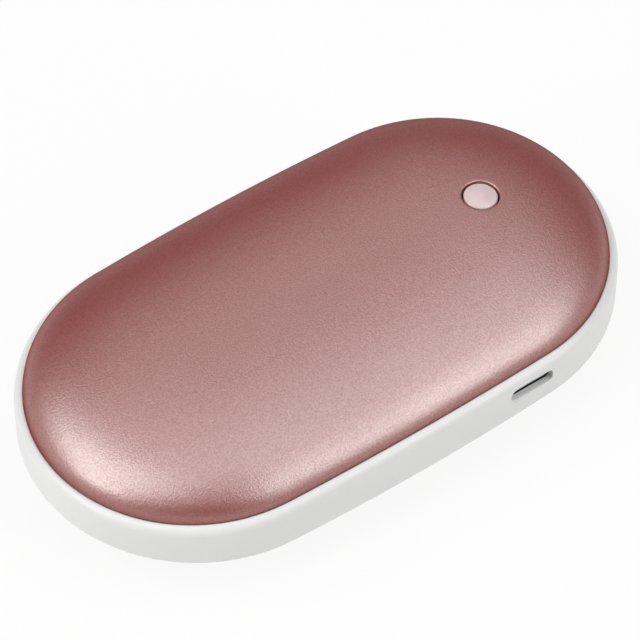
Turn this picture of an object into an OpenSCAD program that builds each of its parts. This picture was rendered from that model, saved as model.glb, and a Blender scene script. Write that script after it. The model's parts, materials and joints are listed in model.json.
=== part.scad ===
// Rechargeable hand warmer: two domed metal shells snapped onto a moulded band.
// X runs along the case towards the button, Y across it, and Z up.
// The origin is under the middle of the case, on the surface that it stands on.

/* [Case] */
// Length that the case has beyond the length of its cells
spare_l = 42; // [40:0.5:50]
// Width of the case across the band
body_w = 59.6; // [58.6:0.2:66]
// Height of the case from crown to crown
body_h = 26.4; // [26:0.1:30]
// Height of the band between the two shells
band_h = 9.9; // [9.4:0.1:11.4]
// Wall of the band
band_t = 1.8; // [1.4:0.1:2.2]
// Width of the rounded shoulder that the band shows beside each shell
shoulder_w = 1.44; // [1:0.02:1.8]
// Height of that shoulder
shoulder_h = 1.5; // [1:0.1:2.2]
// Wall of the domed metal shells
shell_t = 0.9; // [0.7:0.05:1.1]
// Half width of the flat on each crown
crown_flat = 6; // [4:0.5:8]

/* [Snap frames] */
// Wall of the snap frame bonded inside each shell
frame_t = 1.2; // [1:0.1:1.4]
// Thickness of a snap hook
hook_t = 1.1; // [0.9:0.1:1.3]
// Width of a snap hook
hook_w = 4.4; // [3.4:0.2:5.4]
// How far a hook catches under the band's flange
hook_catch = 0.5; // [0.3:0.1:0.8]
// Thickness of the flanges inside the band
flange_t = 1.2; // [1:0.1:1.5]
// Height of the lips that centre the shells
lip_h = 1.2; // [0.8:0.1:1.4]
// Thickness of those lips
lip_t = 1; // [0.8:0.1:1.2]

/* [Battery] */
// Diameter of a wrapped cell
cell_d = 18.4; // [18:0.1:18.8]
// Length of a cell over its cap
cell_l = 65; // [64:0.5:66]
// Gap between the two cells
cell_gap = 0.6; // [0.4:0.1:1]
// Thickness of a cell's sleeve
sleeve_t = 0.1; // [0.08:0.01:0.15]
// Wall of the cradle beside and between the cells
cradle_t = 1.5; // [1.2:0.1:1.8]
// Depth of the cradle under the board
cradle_h = 6.8; // [5:0.2:7.4]
// Thickness of the nickel strips
strip_t = 0.15; // [0.1:0.01:0.2]
// Width of the nickel strips
strip_w = 7; // [5:0.5:8]

/* [Button] */
// Distance of the button's axis beyond the ends of the cells
button_ahead = 8.05; // [8:0.05:9]
// Diameter of the button cap
button_d = 5.8; // [5:0.1:6.4]
// Gap around the cap in the shell
button_gap = 0.25; // [0.15:0.05:0.4]
// How far the cap lies below the shell's surface
button_sink = 0.1; // [0:0.05:0.2]
// Travel of the button
button_travel = 0.3; // [0.2:0.05:0.4]
// Wall of the guide sleeve round the cap
guide_t = 1.8; // [1.4:0.1:2.2]
// Length of the guide sleeve below the shell at its middle
guide_h = 3.4; // [2.6:0.1:3.8]
// Thickness of the flange that keeps the cap in
collar_t = 0.8; // [0.6:0.1:1]
// Diameter of the cap's stem
stem_d = 3.2; // [2.6:0.1:3.4]

/* [Charging port] */
// Distance of the port's middle before the ends of the cells
port_before = 2.95; // [2.6:0.05:4]
// Width of the slot in the band
port_w = 8.4; // [8:0.1:9]
// Height of the slot in the band
port_h = 2.6; // [2.5:0.05:3]
// Height of the slot's middle over the middle of the case
port_rise = 1.1; // [0.8:0.1:1.4]
// Width of the metal socket
socket_w = 7.5; // [7.2:0.1:7.7]
// Height of the metal socket
socket_h = 2.45; // [2.4:0.05:2.6]
// Depth of the metal socket
socket_l = 5.6; // [5:0.1:6]
// Sheet of the metal socket
socket_t = 0.3; // [0.2:0.05:0.35]
// How far the socket's mouth lies inside the band's face
port_depth = 1.9; // [1.2:0.1:2.2]

/* [Board] */
// Thickness of the circuit board
board_t = 1; // [0.8:0.1:1.2]
// Width of the square switch
switch_w = 6.2; // [5.8:0.1:6.4]
// Height of the switch without its plunger
switch_h = 3.4; // [3:0.1:4]
// Diameter of the switch's plunger
plunger_d = 3.4; // [3:0.1:3.6]
// How far the plunger stands out of the switch
plunger_h = 1.6; // [1.2:0.1:2]
// Diameter of the power coil's winding
coil_d = 5.2; // [4.6:0.1:5.6]
// Height of the power coil
coil_h = 3; // [2.4:0.1:3.6]

/* [Heaters] */
// Thickness of a heater's film
film_t = 0.2; // [0.15:0.01:0.25]
// Half width of a heater's film
film_r = 18; // [16:0.5:19]
// Thickness of the heating track on the film
track_t = 0.1; // [0.08:0.01:0.15]
// Width of the heating track
track_w = 2.2; // [1.4:0.1:2.6]
// Distance between two runs of the heating track
track_pitch = 4.6; // [4:0.1:6]

/* [Fixings] */
// Diameter of the screws
screw_d = 2; // [1.8:0.1:2.2]
// Diameter of the screw heads
head_d = 3.6; // [3.2:0.1:3.8]
// Height of the screw heads
head_h = 1.3; // [1:0.1:1.5]
// Diameter of the screw bosses
boss_d = 4.8; // [4.4:0.1:5]
// Thickness of the cradle's screw tabs
tab_t = 1.6; // [1.2:0.1:2]
// Diameter of the battery leads
lead_d = 1.2; // [1:0.1:1.4]
// Diameter of the heater and sensor leads
thin_lead_d = 0.8; // [0.6:0.1:1]

/* [Hidden] */
$fn = 64;

// Exponents of the dome's section, across the crown and at its edge
crown_power = 2.53;
edge_power = 1.81;
// Steps along the dome's section and round the band's shoulder
dome_steps = 14;
shoulder_steps = 6;
// Clearance beside a cut and past the end of one
fit = 0.1;
past = 1;

// The case's levels and its plan: two half rounds joined by a straight middle
body_l = cell_l + spare_l;
mid_z = body_h / 2;
top_z = mid_z + band_h / 2;
low_z = mid_z - band_h / 2;
dome_h = low_z;
end_r = body_w / 2;
half_l = body_l / 2 - end_r;
shell_r = end_r - shoulder_w;
wall_r = end_r - band_t;
lip_gap = 0.5;
lip_r = shell_r - shell_t - lip_gap;
flange_r = lip_r - lip_t;

// Each snap frame is a strip between two heights over the parting line
frame_h = 1.6;
frame_z = [lip_h + 2 * fit, lip_h + 2 * fit + frame_h];
hook_r = flange_r - 2 * fit;
hook_end_angle = 78;
hook_side_x = -11;
barb_h = 0.8;

// Cells lie side by side, as far left as the round end lets their corners go
cell_y = (cell_d + cell_gap) / 2;
cell_corner = cell_y + cell_d / 2;
corner_gap = 0.6;
cell_x0 = -half_l - sqrt(pow(flange_r - corner_gap, 2) - pow(cell_corner, 2));
cell_x1 = cell_x0 + cell_l;
button_x = cell_x1 + button_ahead;
port_x = cell_x1 - port_before;
can_r = cell_d / 2 - sleeve_t;
nub_h = 0.9;
nub_d = 8.4;
can_l = cell_l - nub_h;
sleeve_lip = 1.6;
ring_t = 0.25;
ring_w = 3.6;
strip_margin = 1;
strip_reach = cell_y + nub_d / 2 - strip_margin;

// A sensor lies in a channel of the cradle, in the groove under the two cells
sensor_x = -6;
sensor_d = 2.4;
sensor_l = 3;
sensor_gap = 0.02;
groove_z = sqrt(pow((cell_d + sensor_d) / 2 + sensor_gap, 2) - pow(cell_y, 2));
channel_w = sensor_d + 4 * fit;

// The board lies under the socket, and the cradle's top carries its wing
port_z = mid_z + port_rise;
board_z1 = port_z - socket_h / 2;
board_z0 = board_z1 - board_t;
board_r = wall_r - 4 * fit;
board_gap = 3;
board_x0 = cell_x1 + strip_t + board_gap;
wing_gap = 0.7;
wing_y = cell_corner + wing_gap;
wing_l = 12.6;
wing_x0 = port_x - wing_l;
cradle_z0 = board_z0 - cradle_h;

// Screw bosses stand along the band's wall
boss_r = wall_r - boss_d / 2 - 2 * fit;
board_boss_angle = 40;
board_bosses = [
    [half_l + boss_r * cos(board_boss_angle), boss_r * sin(board_boss_angle)],
    [half_l + boss_r * cos(board_boss_angle), -boss_r * sin(board_boss_angle)],
    [wing_x0 + boss_d / 2, -boss_r]];
boss_margin = 1.6;
cradle_boss_x = [boss_margin - half_l, 0];
tab_rise = 1;
tab_z = low_z + flange_t + tab_rise;
rib_t = 1.2;
screw_grip = 3.6;

// The button, from its crown down to the switch
switch_z1 = board_z1 + switch_h;
plunger_z1 = switch_z1 + plunger_h;
button_axis_r = button_x - half_l;
button_top = top_z + dome_at(button_axis_r, shell_t);
guide_z0 = button_top - guide_h;
guide_r = button_d / 2 + fit;
guide_out = guide_r + guide_t;
collar_w = 1.3;
collar_d = button_d + 2 * collar_w;
collar_z1 = guide_z0 - fit;
plunger_fit = 0.05;
dome_rise = 0.3;
plunger_foot = button_travel + dome_rise;

// The heaters' tracks stop short of the button
film_edge = 4.7;
track_reach = film_r - film_edge;
track_gap = 2;
track_x1 = button_x - guide_out - track_gap;
track_over = 11.6;
track_x0 = -half_l - track_over;
pad_r = 12;
pad_gap = 1;
pad_x1 = track_x1 - pad_gap;
pad_x0 = track_x0;

// Height of the dome's section over its parting line, at a distance from the middle
function dome_at(r, inset) =
    let (s = shell_r - inset, h = dome_h - inset)
    r <= crown_flat ? h : h * pow(1 - pow(r / s, crown_power), 1 / edge_power);

// Outline of the dome from its crown to the parting line
function dome_line(inset) =
    let (s = shell_r - inset, h = dome_h - inset,
         start = asin(pow(crown_flat / s, crown_power / 2)))
    concat([[0, h], [crown_flat, h]],
        [for (i = [1 : dome_steps])
            let (t = start + (90 - start) * i / dome_steps)
            [s * pow(sin(t), 2 / crown_power), h * pow(max(cos(t), 0), 2 / edge_power)]]);

function backwards(line) = [for (i = [len(line) - 1 : -1 : 0]) line[i]];

// Unit vector, and a ring of points across a tube's route
function unit(v) = v / norm(v);
function tube_ring(p, along, d, sides) =
    let (u = unit(cross(along, abs(along[2]) < 0.9 ? [0, 0, 1] : [1, 0, 0])), v = cross(unit(along), u))
    [for (k = [0 : sides - 1]) p + d / 2 * (cos(360 * k / sides) * u + sin(360 * k / sides) * v)];
// A smooth route through points chosen by hand
function bend(a, b, c, e, t) =
    0.5 * (2 * b + (c - a) * t + (2 * a - 5 * b + 4 * c - e) * t * t + (3 * b - a - 3 * c + e) * t * t * t);
function smooth_route(p, steps) =
    let (n = len(p) - 1)
    concat([for (i = [0 : n - 1]) for (k = [0 : steps - 1])
        bend(p[max(i - 1, 0)], p[i], p[i + 1], p[min(i + 2, n)], k / steps)], [p[n]]);

module half_section_sweep() {
    for (side = [-1, 1])
        translate([side * half_l, 0, 0])
            rotate([0, 0, -90 * side])
                rotate_extrude(angle = 180)
                    children();
    rotate([90, 0, 90])
        translate([0, 0, -half_l])
            linear_extrude(2 * half_l) {
                children();
                mirror([1, 0]) children();
            }
}

module stadium_prism(r, z0, z1) {
    translate([0, 0, z0])
        linear_extrude(z1 - z0) {
            square([2 * half_l, 2 * r], center = true);
            for (side = [-1, 1])
                translate([side * half_l, 0]) circle(r);
        }
}

// The upper half stands on its parting line, and the lower half is its mirror image
module on_top() {
    translate([0, 0, top_z]) children();
}

module on_bottom() {
    translate([0, 0, low_z]) mirror([0, 0, 1]) children();
}

module block(from, to) {
    translate(from) cube(to - from);
}

// Layer of the dome between two insets
module dome_layer(inset, thickness) {
    half_section_sweep()
        polygon(concat(dome_line(inset), backwards(dome_line(inset + thickness))));
}

module dome_solid(inset) {
    half_section_sweep()
        polygon(concat([[0, 0]], dome_line(inset)));
}

module top_shell() {
    color([0.72, 0.47, 0.45])
        difference() {
            on_top() dome_layer(0, shell_t);
            translate([button_x, 0, top_z])
                cylinder(d = button_d + 2 * button_gap, h = dome_h + past);
        }
}

module bottom_shell() {
    color([0.72, 0.47, 0.45])
        on_bottom() dome_layer(0, shell_t);
}

// Half section of the band: rounded shoulders outside, two flanges with lips inside
module band_section() {
    shoulder = [for (i = [0 : shoulder_steps])
        let (a = 90 * i / shoulder_steps)
        [shell_r + shoulder_w * sin(a), band_h / 2 - shoulder_h * (1 - cos(a))]];
    lower = [for (p = backwards(shoulder)) [p[0], -p[1]]];
    inner_upper = [[wall_r, band_h / 2 - flange_t], [flange_r, band_h / 2 - flange_t],
        [flange_r, band_h / 2 + lip_h], [lip_r, band_h / 2 + lip_h], [lip_r, band_h / 2]];
    inner_lower = [for (p = backwards(inner_upper)) [p[0], -p[1]]];
    translate([0, mid_z])
        polygon(concat(shoulder, lower, inner_lower, inner_upper));
}

// A boss on the lower flange, with a rib to the band's wall
module band_boss(place, z1) {
    turn = atan2(place[1], place[0] > half_l ? place[0] - half_l : 0);
    translate([place[0], place[1], low_z]) {
        cylinder(d = boss_d, h = z1 - low_z);
        rotate([0, 0, turn])
            translate([0, -rib_t / 2, 0])
                cube([wall_r - boss_r + band_t / 2, rib_t, z1 - low_z]);
    }
}

module port_opening(w, h) {
    corner = 0.7;
    translate([port_x, -end_r + 2 * band_t, port_z])
        rotate([90, 0, 0])
            linear_extrude(2 * band_t + past) {
                square([w - 2 * corner, h], center = true);
                square([w, h - 2 * corner], center = true);
                for (x = [-1, 1], y = [-1, 1])
                    translate([x * (w / 2 - corner), y * (h / 2 - corner)]) circle(corner);
            }
}

module middle_band() {
    color([0.93, 0.93, 0.92])
        difference() {
            union() {
                half_section_sweep() band_section();
                for (place = board_bosses) band_boss(place, board_z0);
                for (x = cradle_boss_x, side = [-1, 1]) band_boss([x, side * boss_r], tab_z);
            }
            port_opening(port_w, port_h);
            for (place = board_bosses)
                translate([place[0], place[1], board_z0 - screw_grip])
                    cylinder(d = screw_d - 2 * fit, h = screw_grip + past);
            for (x = cradle_boss_x, side = [-1, 1])
                translate([x, side * boss_r, low_z - fit])
                    cylinder(d = screw_d - 2 * fit, h = band_h);
        }
}

// A hook that hangs down past the flange, catching under it
module snap_hook() {
    barb_top = -flange_t - fit;
    block([hook_r - hook_t, -hook_w / 2, barb_top - barb_h],
        [hook_r, hook_w / 2, frame_z[0] + frame_h / 2]);
    block([hook_r - hook_t, -hook_w / 2, barb_top - barb_h],
        [flange_r + hook_catch, hook_w / 2, barb_top]);
}

module snap_frame() {
    intersection() {
        dome_layer(shell_t, frame_t);
        stadium_prism(shell_r, frame_z[0], frame_z[1]);
    }
    for (side = [-1, 1]) {
        translate([hook_side_x, 0, 0]) rotate([0, 0, 90 * side]) snap_hook();
        for (angle = [-hook_end_angle, hook_end_angle])
            translate([side * half_l, 0, 0])
                rotate([0, 0, side > 0 ? angle : 180 - angle]) snap_hook();
    }
}

module top_snap_frame() {
    color([0.85, 0.85, 0.84]) on_top() snap_frame();
}

module bottom_snap_frame() {
    color([0.85, 0.85, 0.84]) on_bottom() snap_frame();
}

module button_cap() {
    color([0.95, 0.86, 0.85, 0.8]) {
        intersection() {
            on_top() dome_solid(button_sink);
            translate([button_x, 0, collar_z1 - collar_t / 2])
                cylinder(d = button_d, h = body_h);
        }
        translate([button_x, 0, collar_z1 - collar_t]) cylinder(d = collar_d, h = collar_t);
        translate([button_x, 0, plunger_z1])
            cylinder(d = stem_d, h = collar_z1 - collar_t / 2 - plunger_z1);
    }
}

module button_guide() {
    color([0.15, 0.15, 0.16])
        difference() {
            intersection() {
                on_top() dome_solid(shell_t);
                translate([button_x, 0, guide_z0]) cylinder(r = guide_out, h = body_h);
            }
            translate([button_x, 0, guide_z0 - past]) cylinder(r = guide_r, h = body_h);
        }
}

module heater_film() {
    intersection() {
        dome_layer(shell_t, film_t);
        stadium_prism(film_r, 0, dome_h);
    }
}

module top_heater_film() {
    color([0.82, 0.5, 0.15])
        difference() {
            on_top() heater_film();
            translate([button_x, 0, top_z]) cylinder(r = guide_out + 4 * fit, h = dome_h);
        }
}

module bottom_heater_film() {
    color([0.82, 0.5, 0.15]) on_bottom() heater_film();
}

// A track that runs to and fro across the film
module heater_track() {
    runs = 2 * floor((track_x1 - track_x0) / track_pitch / 2);
    intersection() {
        dome_layer(shell_t + film_t, track_t);
        translate([track_x1, 0, 0])
            linear_extrude(dome_h)
                for (i = [0 : runs - 1]) {
                    x = -i * track_pitch - track_w;
                    translate([x, -track_reach]) square([track_w, 2 * track_reach]);
                    if (i < runs - 1)
                        translate([x - track_pitch, i % 2 == 0 ? track_reach - track_w : -track_reach])
                            square([track_pitch + track_w, track_w]);
                }
    }
}

module top_heater_track() {
    color([0.75, 0.76, 0.78]) on_top() heater_track();
}

module bottom_heater_track() {
    color([0.75, 0.76, 0.78]) on_bottom() heater_track();
}

// Foam between the cells' tops and the heater's track
module foam_pad() {
    inset = shell_t + film_t + track_t;
    base = mid_z + cell_d / 2 - top_z;
    intersection() {
        dome_solid(inset);
        stadium_prism(pad_r, base, dome_h);
        block([pad_x0, -pad_r, 0], [pad_x1, pad_r, dome_h]);
    }
}

module top_foam_pad() {
    color([0.25, 0.25, 0.27]) on_top() foam_pad();
}

module bottom_foam_pad() {
    color([0.25, 0.25, 0.27]) on_bottom() foam_pad();
}

// Steel can with a rolled groove and a raised cap at its positive end
module cell(side) {
    groove_x = can_l - 4;
    groove_t = 0.5;
    nub_bevel = 0.3;
    color([0.75, 0.76, 0.77])
        translate([cell_x0, side * cell_y, mid_z])
            rotate([0, 90, 0])
                rotate_extrude()
                    polygon([[0, 0], [can_r - sleeve_lip, 0],
                        [can_r - sleeve_lip, sleeve_t], [can_r, sleeve_t],
                        [can_r, groove_x], [can_r - groove_t, groove_x + groove_t],
                        [can_r, groove_x + 2 * groove_t],
                        [can_r, can_l - ring_t - sleeve_t], [nub_d / 2, can_l - ring_t],
                        [nub_d / 2, cell_l - nub_bevel], [nub_d / 2 - nub_bevel, cell_l], [0, cell_l]]);
}

module front_cell() {
    cell(-1);
}

module rear_cell() {
    cell(1);
}

module cell_sleeves() {
    color([0.15, 0.42, 0.62])
        for (side = [-1, 1])
            translate([cell_x0, side * cell_y, mid_z])
                rotate([0, 90, 0])
                    difference() {
                        cylinder(d = cell_d, h = can_l);
                        translate([0, 0, sleeve_t]) cylinder(r = can_r, h = can_l - 2 * sleeve_t - ring_t);
                        translate([0, 0, -past]) cylinder(r = can_r - sleeve_lip, h = can_l + 2 * past);
                        translate([0, 0, can_l / 2]) cylinder(r = can_r, h = can_l / 2 - sleeve_t);
                    }
}

module insulating_rings() {
    color([0.92, 0.92, 0.9])
        for (side = [-1, 1])
            translate([cell_x0 + can_l - ring_t, side * cell_y, mid_z])
                rotate([0, 90, 0])
                    difference() {
                        cylinder(r = nub_d / 2 + ring_w - fit, h = ring_t - sleeve_t);
                        translate([0, 0, -past]) cylinder(r = nub_d / 2 + fit, h = 3 * past);
                    }
}

// Strip across both cells' ends
module cell_strip(x) {
    block([x, -strip_reach, mid_z - strip_w / 2], [x + strip_t, strip_reach, mid_z + strip_w / 2]);
}

module positive_strip() {
    color([0.8, 0.8, 0.78]) cell_strip(cell_x1);
}

module negative_strip() {
    color([0.8, 0.8, 0.78]) cell_strip(cell_x0 - strip_t);
}

// Tray that holds the lower halves of both cells, with four screw tabs on the band's bosses
module battery_cradle() {
    round_r = flange_r - 3.4;
    cradle_y = cell_corner + 2 * fit + cradle_t;
    tab_y = boss_r + boss_d / 2 - fit;
    color([0.2, 0.2, 0.22])
        difference() {
            union() {
                intersection() {
                    block([cell_x0 - cradle_t - strip_t - fit, -cradle_y, cradle_z0],
                        [cell_x1 + strip_t + fit + cradle_t, cradle_y, board_z0]);
                    stadium_prism(round_r, cradle_z0, board_z0);
                }
                for (x = cradle_boss_x)
                    block([x - boss_d / 2, -tab_y, tab_z], [x + boss_d / 2, tab_y, tab_z + tab_t]);
            }
            for (side = [-1, 1])
                translate([cell_x0 - strip_t - fit, side * cell_y, mid_z])
                    rotate([0, 90, 0])
                        cylinder(d = cell_d + 2 * fit, h = cell_l + 2 * strip_t + 2 * fit);
            for (x = [cell_x0 - strip_t - fit, cell_x1 - fit])
                block([x, -strip_reach - fit, mid_z - strip_w / 2 - fit],
                    [x + strip_t + 2 * fit, strip_reach + fit, mid_z]);
            block([sensor_x - sensor_d, -channel_w / 2, mid_z - groove_z - channel_w / 2],
                [cell_x1 + strip_t + cradle_t + past, channel_w / 2, mid_z]);
            for (x = cradle_boss_x, side = [-1, 1])
                translate([x, side * boss_r, low_z]) cylinder(d = screw_d + 2 * fit, h = band_h);
        }
}

module circuit_board() {
    color([0.1, 0.35, 0.2])
        difference() {
            union() {
                intersection() {
                    stadium_prism(board_r, board_z0, board_z1);
                    block([board_x0, -board_r, board_z0], [body_l / 2, board_r, board_z1]);
                }
                block([wing_x0, -board_r, board_z0], [board_x0 + past, -wing_y, board_z1]);
            }
            for (place = board_bosses)
                translate([place[0], place[1], board_z0 - past])
                    cylinder(d = screw_d + 2 * fit, h = board_t + 2 * past);
        }
}

// Outline of the socket: its lower corners are cut off
module socket_outline(shrink) {
    corner = 0.9;
    w = socket_w / 2 - shrink;
    h = socket_h / 2 - shrink;
    cut = corner - shrink / 2;
    polygon([[-w, -h], [w, -h], [w, h - cut], [w - cut, h], [cut - w, h], [-w, h - cut]]);
}

// Y of the socket's mouth and back
socket_y0 = -end_r + port_depth;
socket_y1 = socket_y0 + socket_l;

module socket_bar(shrink, y0, y1) {
    translate([port_x, y1, port_z])
        rotate([90, 0, 0])
            linear_extrude(y1 - y0) socket_outline(shrink);
}

module socket_shell() {
    color([0.78, 0.79, 0.8])
        difference() {
            socket_bar(0, socket_y0, socket_y1);
            socket_bar(socket_t, socket_y0 - past, socket_y1 - socket_t);
        }
}

// The tongue stands in the socket on a foot that closes the socket's back
tongue_w = 3.6;
tongue_t = 0.7;
tongue_z = port_z + fit / 2;
tongue_y0 = socket_y0 + 0.8;
foot_y1 = socket_y1 - socket_t;
foot_y0 = foot_y1 - 1.2;

module socket_tongue() {
    color([0.08, 0.08, 0.08]) {
        block([port_x - tongue_w / 2, tongue_y0, tongue_z],
            [port_x + tongue_w / 2, (foot_y0 + foot_y1) / 2, tongue_z + tongue_t]);
        socket_bar(socket_t + fit, foot_y0, foot_y1);
    }
}

module socket_contacts() {
    pitch = 0.65;
    contact_w = 0.35;
    contact_t = 0.12;
    color([0.9, 0.72, 0.35])
        for (i = [-2 : 2])
            block([port_x + i * pitch - contact_w / 2, tongue_y0 + contact_w, tongue_z - contact_t],
                [port_x + i * pitch + contact_w / 2, foot_y0, tongue_z]);
}

module switch_body() {
    leg = [1, 0.7, 0.3];
    color([0.12, 0.12, 0.13])
        difference() {
            union() {
                block([button_x - switch_w / 2, -switch_w / 2, board_z1],
                    [button_x + switch_w / 2, switch_w / 2, switch_z1]);
                for (x = [-1, 1], y = [-1, 1])
                    translate([button_x + x * (switch_w + leg[0]) / 2, y * switch_w / 3,
                        board_z1 + leg[2] / 2])
                        cube([leg[0] + fit, leg[1], leg[2]], center = true);
            }
            translate([button_x, 0, switch_z1 - plunger_h])
                cylinder(d = plunger_d + 2 * plunger_fit, h = plunger_h + past);
        }
    color([0.8, 0.8, 0.8])
        translate([button_x, 0, switch_z1 - plunger_h])
            cylinder(d1 = plunger_d - 4 * fit, d2 = plunger_d / 3, h = dome_rise - fit);
}

module switch_plunger() {
    color([0.85, 0.84, 0.8])
        translate([button_x, 0, switch_z1 - plunger_h + plunger_foot])
            cylinder(d = plunger_d, h = 2 * plunger_h - plunger_foot);
}

// A surface part on the board's top
module board_part(x, y, size) {
    translate([x - size[0] / 2, y - size[1] / 2, board_z1]) cube(size);
}

module status_lamps() {
    lamp = [1.6, 0.9, 0.7];
    pitch = 2.8;
    row_y = switch_w / 2 + 1.4;
    color([0.98, 0.95, 0.85])
        for (y = [-row_y, row_y], x = [-pitch / 2, pitch / 2])
            board_part(button_x + x, y, lamp);
}

// Chip with gull legs along its two long sides
module chip(x, y, size, legs) {
    leg = [0.4, 1, 0.3];
    board_part(x, y, size);
    for (i = [0 : legs - 1], side = [-1, 1])
        board_part(x + (i - (legs - 1) / 2) * size[0] / legs,
            y + side * ((size[1] + leg[1]) / 2 - fit), leg);
}

// Places of the larger parts on the board, counted from the button
chip_ahead = 7.6;
chip_x = button_x + chip_ahead;
charging_y = -8.6;
charging_size = [4.9, 3.9, 1.5];
control_ahead = 1.2;
control_x = button_x + control_ahead;
control_y = 15.2;
control_size = [6.5, 4.4, 1];
transistor_ahead = 0.6;
transistor_x = button_x + transistor_ahead;
transistor_y = [-13.4, -17.6];
transistor_size = [2.9, 1.6, 1.1];
coil_ahead = 8.4;
coil_x = button_x + coil_ahead;
coil_y = 2.4;
disc_h = 0.6;

// Capacitors stand in a row before the coil and in a column beside the port
capacitor_size = [2, 1.25, 0.9];
capacitor_row_gap = 6;
capacitor_row_y = coil_y - capacitor_row_gap;
capacitor_row_pitch = 2.6;
capacitor_column_gap = 7.2;
capacitor_column_x = port_x - capacitor_column_gap;
capacitor_edge = 2.2;
capacitor_column_y = -board_r + capacitor_edge;
capacitor_column_pitch = 2.4;

// Resistors stand in a column behind the coil and in a row beside the transistors
resistor_size = [1.6, 0.8, 0.45];
resistor_ahead = 8;
resistor_column_x = button_x + resistor_ahead;
resistor_column_gap = 4;
resistor_column_y = coil_y + resistor_column_gap;
resistor_column_pitch = 1.7;
resistor_row_x = button_x - 2 * resistor_size[2];
resistor_row_gap = 3;
resistor_row_y = transistor_y[1] - resistor_row_gap;
resistor_row_pitch = 2.2;

module charging_chip() {
    color([0.1, 0.1, 0.11]) chip(chip_x, charging_y, charging_size, 4);
}

module control_chip() {
    color([0.1, 0.1, 0.11]) chip(control_x, control_y, control_size, 7);
}

module coil_core() {
    core_d = coil_d + 0.8;
    color([0.3, 0.3, 0.31])
        translate([coil_x, coil_y, board_z1]) {
            cylinder(d = core_d, h = disc_h);
            cylinder(d = core_d / 2, h = coil_h);
            translate([0, 0, coil_h - disc_h]) cylinder(d = core_d, h = disc_h);
        }
}

// Turns of wire between the core's two discs
module coil_winding() {
    turns = 5;
    wire_d = (coil_h - 2 * disc_h) / turns;
    color([0.72, 0.4, 0.2])
        translate([coil_x, coil_y, board_z1 + disc_h])
            difference() {
                union() {
                    cylinder(d = coil_d - wire_d, h = turns * wire_d);
                    for (i = [0 : turns - 1])
                        translate([0, 0, (i + 0.1) * wire_d])
                            cylinder(d = coil_d, h = 0.8 * wire_d);
                }
                translate([0, 0, -past]) cylinder(d = coil_d / 2 + disc_h, h = coil_h + 2 * past);
            }
}

module power_transistors() {
    color([0.11, 0.11, 0.12])
        for (y = transistor_y) chip(transistor_x, y, transistor_size, 2);
}

module chip_capacitors() {
    color([0.72, 0.6, 0.42]) {
        for (i = [-1 : 1])
            board_part(coil_x + i * capacitor_row_pitch, capacitor_row_y, capacitor_size);
        for (i = [0 : 1])
            board_part(capacitor_column_x, capacitor_column_y + i * capacitor_column_pitch,
                capacitor_size);
    }
}

module chip_resistors() {
    color([0.14, 0.14, 0.15]) {
        for (i = [0 : 3])
            board_part(resistor_column_x, resistor_column_y + i * resistor_column_pitch,
                resistor_size);
        for (i = [0 : 2])
            board_part(resistor_row_x + i * resistor_row_pitch, resistor_row_y, resistor_size);
    }
}

plug_size = [4.4, 6, 4];
plug_margin = 0.4;
plug_x = board_x0 + plug_size[0] / 2 + plug_margin;
plug_gap = 2.3;
plug_y = switch_w / 2 + plug_size[1] / 2 + plug_gap;
plug_pitch = 2.8;
plug_face = plug_x - plug_size[0] / 2;
lead_grip = 1.8;
lead_hole_z = board_z1 + plug_size[2] / 2;

// Plug housing with two lead holes that face the cells
module battery_plug() {
    color([0.94, 0.93, 0.88])
        difference() {
            board_part(plug_x, plug_y, plug_size);
            for (side = [-1, 1])
                translate([plug_face - past, plug_y + side * plug_pitch / 2, lead_hole_z])
                    rotate([0, 90, 0]) cylinder(d = lead_d + 4 * fit, h = lead_grip + 2 * fit + past);
        }
}

module temperature_sensor() {
    color([0.1, 0.1, 0.1])
        translate([sensor_x, 0, mid_z - groove_z]) {
            rotate([0, 90, 0]) cylinder(d = sensor_d - 2 * fit, h = sensor_l);
            sphere(d = sensor_d);
        }
}

// Tube along a route, with the same number of sides all the way
module lead(points, d) {
    sides = 8;
    route = smooth_route(points, 3);
    n = len(route);
    rings = [for (i = [0 : n - 1])
        tube_ring(route[i], unit(route[min(i + 1, n - 1)] - route[max(i - 1, 0)]), d, sides)];
    faces = concat(
        [for (i = [0 : n - 2]) for (k = [0 : sides - 1])
            let (a = i * sides + k, b = i * sides + (k + 1) % sides)
            each [[a, a + sides, b], [b, a + sides, b + sides]]],
        [for (k = [1 : sides - 2]) each [[0, k, k + 1], [(n - 1) * sides, (n - 1) * sides + k + 1,
            (n - 1) * sides + k]]]);
    polyhedron(points = [for (r = rings) each r], faces = faces);
}

valley_z = mid_z + sqrt(pow(cell_d / 2 + lead_d / 2 + 2 * fit, 2) - pow(cell_y, 2));
strip_top = mid_z + strip_w / 2;
// A soldered end stops this far off what it is soldered to
solder = 0.04;

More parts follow.
